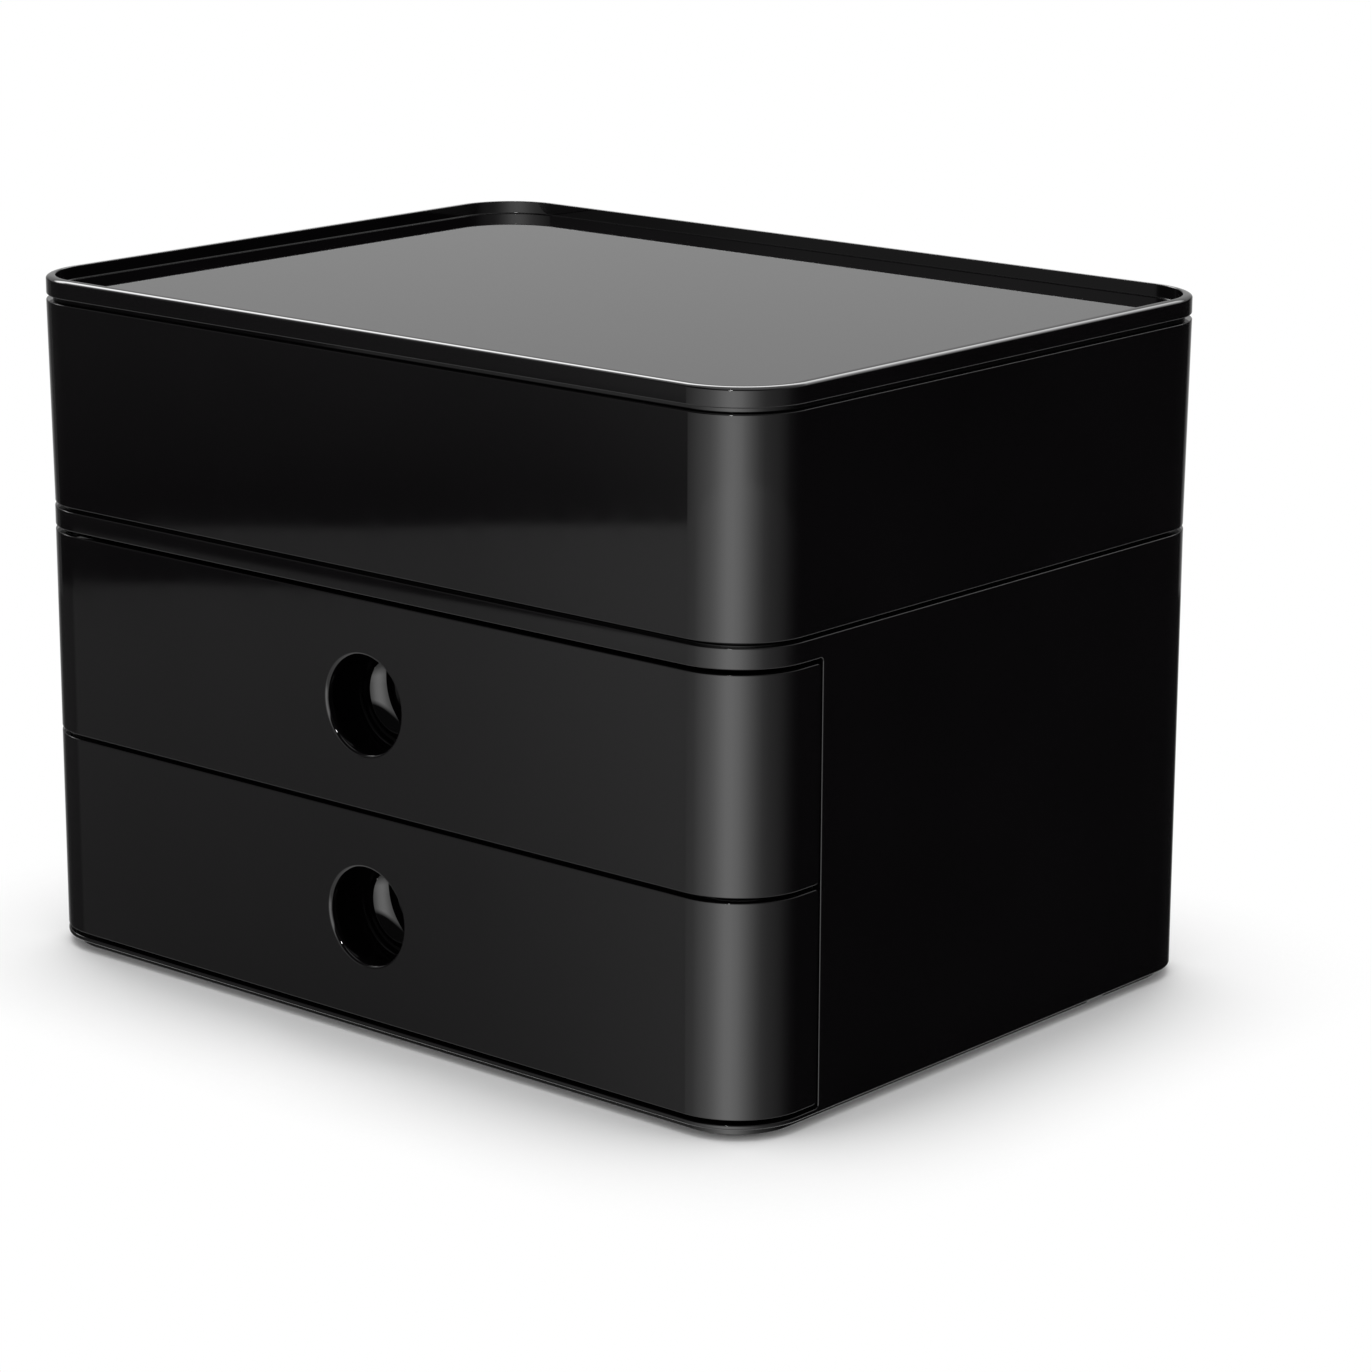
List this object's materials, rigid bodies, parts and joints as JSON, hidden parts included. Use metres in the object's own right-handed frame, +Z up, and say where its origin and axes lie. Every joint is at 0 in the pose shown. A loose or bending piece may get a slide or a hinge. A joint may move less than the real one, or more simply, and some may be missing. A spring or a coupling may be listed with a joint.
{
  "type": "desk box with drawers and lidded utensil box",
  "caption": "Glossy desk box with rounded upright corners: wrap-round drawer fronts with round finger holes, and a divided utensil box with a tray lid on top.",
  "frame": {"origin": "bottom centre of the box, on the surface that the rubber feet stand on", "axes": "+Z up, +X to the right seen from the front, +Y to the rear; the drawers open towards -Y"},
  "size_m": [0.261, 0.196, 0.1892],
  "materials": {
    "gloss_shell": "high-gloss moulded, near black",
    "inner_plastic": "satin moulded, near black",
    "foot_rubber": "soft matt"
  },
  "bodies": {
    "housing": {"housing_shell": "gloss_shell", "rear_panel": "gloss_shell", "middle_shelf": "inner_plastic", "upper_drawer_stop": "inner_plastic", "lower_drawer_stop": "inner_plastic", "foot_front_left": "foot_rubber", "foot_front_right": "foot_rubber", "foot_rear_left": "foot_rubber", "foot_rear_right": "foot_rubber"},
    "upper_drawer": {"upper_drawer_tray": "inner_plastic", "upper_drawer_front": "gloss_shell", "upper_finger_cup": "gloss_shell"},
    "lower_drawer": {"lower_drawer_tray": "inner_plastic", "lower_drawer_front": "gloss_shell", "lower_finger_cup": "gloss_shell"},
    "utensil_unit": {"utensil_box": "gloss_shell", "long_divider": "inner_plastic", "left_cross_divider": "inner_plastic", "right_cross_divider": "inner_plastic"},
    "lid_unit": {"lid": "gloss_shell"}
  },
  "joints": [
    {"name": "upper_drawer_slide", "type": "slide", "parent": "housing", "child": "upper_drawer", "axis": [0, -1, 0], "range_m": [0, 0.15]},
    {"name": "lower_drawer_slide", "type": "slide", "parent": "housing", "child": "lower_drawer", "axis": [0, -1, 0], "range_m": [0, 0.15]},
    {"name": "box_lift", "type": "slide", "parent": "housing", "child": "utensil_unit", "axis": [0, 0, 1], "range_m": [0, 0.06]},
    {"name": "lid_lift", "type": "slide", "parent": "utensil_unit", "child": "lid_unit", "axis": [0, 0, 1], "range_m": [0, 0.08]}
  ]
}
